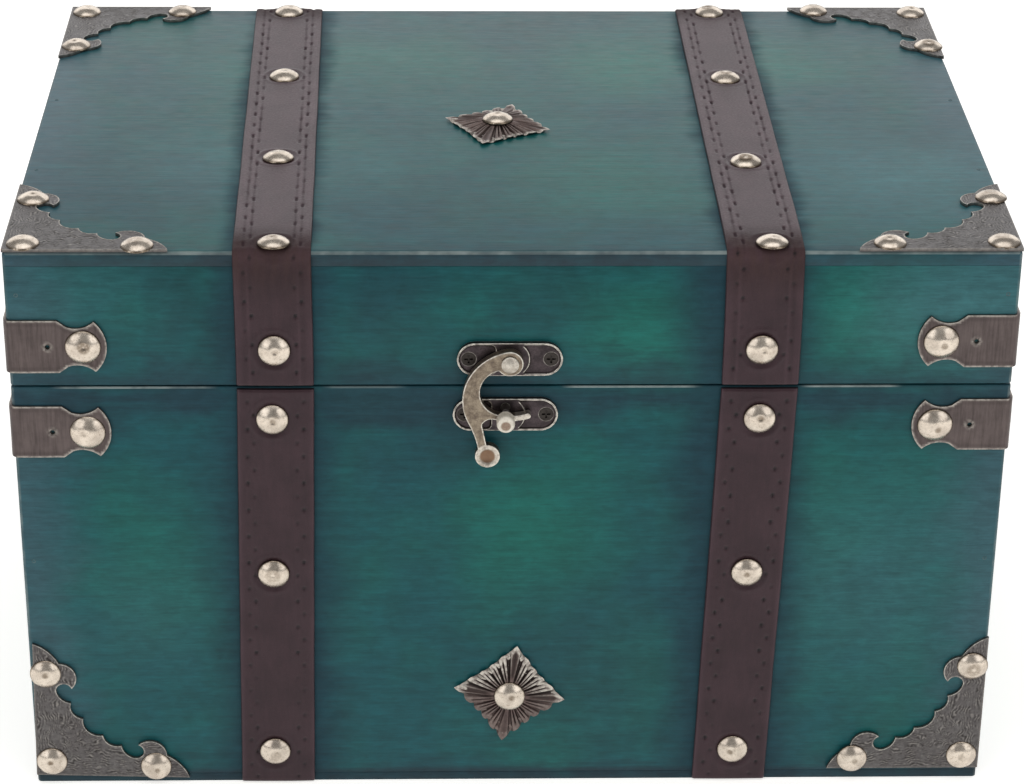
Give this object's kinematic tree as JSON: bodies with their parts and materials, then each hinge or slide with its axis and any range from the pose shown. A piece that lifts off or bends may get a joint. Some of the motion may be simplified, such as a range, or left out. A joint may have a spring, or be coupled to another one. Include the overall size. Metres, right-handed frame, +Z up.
{
  "type": "card box",
  "caption": "Small trunk-style wooden card box: hinged lid, leather straps with dome studs, pressed corner plates, corner wraps, star plates and a swing-hook latch.",
  "frame": {"origin": "middle of the underside, on the surface that the box stands on", "axes": "+X to the right along the front, +Y from the front to the hinged back, +Z up"},
  "size_m": [0.2656, 0.194, 0.1642],
  "materials": {
    "stained_wood": "teal stain, satin",
    "strap_leather": "dark brown, stitched",
    "stud_metal": "pale polished",
    "pressed_metal": "antique, engraved",
    "latch_bronze": "antique, worn edges",
    "hinge_steel": "antique"
  },
  "bodies": {
    "base": {"base_back_panel": "stained_wood", "base_bottom_panel": "stained_wood", "base_brads": "hinge_steel", "base_front_panel": "stained_wood", "base_left_panel": "stained_wood", "base_right_panel": "stained_wood", "base_strap_back_left": "strap_leather", "base_strap_back_right": "strap_leather", "base_strap_front_left": "strap_leather", "base_strap_front_right": "strap_leather", "base_strap_studs": "stud_metal", "base_wrap_left": "pressed_metal", "base_wrap_right": "pressed_metal", "base_wrap_studs": "stud_metal", "catch_plate": "latch_bronze", "catch_post": "latch_bronze", "catch_screws": "latch_bronze", "front_corner_plate_left": "pressed_metal", "front_corner_plate_right": "pressed_metal", "front_corner_plate_studs": "stud_metal", "front_star_plate": "pressed_metal", "front_star_stud": "stud_metal", "hinge_base_leaf_left": "hinge_steel", "hinge_base_leaf_right": "hinge_steel", "hinge_base_screws": "hinge_steel", "hinge_pins": "hinge_steel"},
    "lid": {"hinge_lid_leaf_left": "hinge_steel", "hinge_lid_leaf_right": "hinge_steel", "hinge_lid_screws": "hinge_steel", "latch_plate": "latch_bronze", "latch_rivet": "latch_bronze", "latch_screws": "latch_bronze", "lid_back_panel": "stained_wood", "lid_brads": "hinge_steel", "lid_front_panel": "stained_wood", "lid_left_panel": "stained_wood", "lid_right_panel": "stained_wood", "lid_strap_left": "strap_leather", "lid_strap_right": "strap_leather", "lid_strap_studs": "stud_metal", "lid_top_panel": "stained_wood", "lid_wrap_left": "pressed_metal", "lid_wrap_right": "pressed_metal", "lid_wrap_studs": "stud_metal", "top_corner_plate_back_left": "pressed_metal", "top_corner_plate_back_right": "pressed_metal", "top_corner_plate_front_left": "pressed_metal", "top_corner_plate_front_right": "pressed_metal", "top_corner_plate_studs": "stud_metal", "top_star_plate": "pressed_metal", "top_star_stud": "stud_metal"},
    "hook": {"latch_hook": "latch_bronze"}
  },
  "joints": [
    {"name": "lid_hinge", "type": "hinge", "parent": "base", "child": "lid", "pos_m": [0, 0.0922, 0.122], "axis": [-1, 0, 0], "range_deg": [0, 100]},
    {"name": "hook_swing", "type": "hinge", "parent": "lid", "child": "hook", "pos_m": [-0.0009, -0.093, 0.1302], "axis": [0, 1, 0], "range_deg": [-10, 180]}
  ]
}
